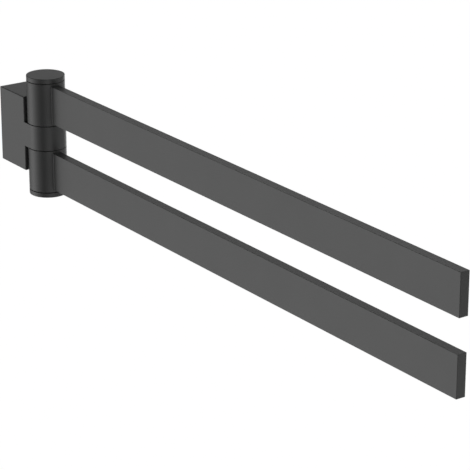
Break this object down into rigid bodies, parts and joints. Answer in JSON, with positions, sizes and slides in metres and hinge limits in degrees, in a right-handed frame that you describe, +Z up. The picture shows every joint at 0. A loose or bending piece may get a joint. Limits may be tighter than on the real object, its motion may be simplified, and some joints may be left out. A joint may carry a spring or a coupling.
{
  "type": "swing arm towel bar",
  "caption": "Wall-mounted towel bar whose flat arms swing from side to side, one above the other, on an upright barrel.",
  "frame": {"origin": "centre of the bracket's back face on the wall, level with the middle of the barrel", "axes": "+Z up; +Y into the wall; at rest both arms point along -Y, square to the wall; +X to the right when facing the wall"},
  "size_m": [0.025, 0.455, 0.08],
  "materials": {
    "satin_black": "satin black coating",
    "plated_steel": "zinc plated",
    "bright_steel": "turned stainless steel",
    "black_oxide": "black oxide",
    "bush_plastic": "moulded acetal",
    "ring_rubber": "matt"
  },
  "bodies": {
    "bracket": {"wall_bracket": "satin_black", "wall_plate": "plated_steel", "clamp_screw": "black_oxide", "pivot_rod": "bright_steel", "rod_lock_screw": "black_oxide", "upper_thrust_washer": "bright_steel", "upper_disc_spring": "black_oxide", "upper_lock_nut": "bright_steel", "lower_thrust_washer": "bright_steel", "lower_disc_spring": "black_oxide", "lower_lock_nut": "bright_steel"},
    "upper_arm": {"upper_sleeve": "satin_black", "upper_bar": "satin_black", "upper_inner_bush": "bush_plastic", "upper_outer_bush": "bush_plastic", "top_cap": "satin_black", "top_cap_ring": "ring_rubber"},
    "lower_arm": {"lower_sleeve": "satin_black", "lower_bar": "satin_black", "lower_inner_bush": "bush_plastic", "lower_outer_bush": "bush_plastic", "bottom_cap": "satin_black", "bottom_cap_ring": "ring_rubber"}
  },
  "joints": [
    {"name": "upper_arm_swing", "type": "hinge", "parent": "bracket", "child": "upper_arm", "pos_m": [0, -0.0382, 0.0225], "axis": [0, 0, 1], "range_deg": [-90, 90]},
    {"name": "lower_arm_swing", "type": "hinge", "parent": "bracket", "child": "lower_arm", "pos_m": [0, -0.0382, -0.0225], "axis": [0, 0, 1], "range_deg": [-90, 90]}
  ]
}
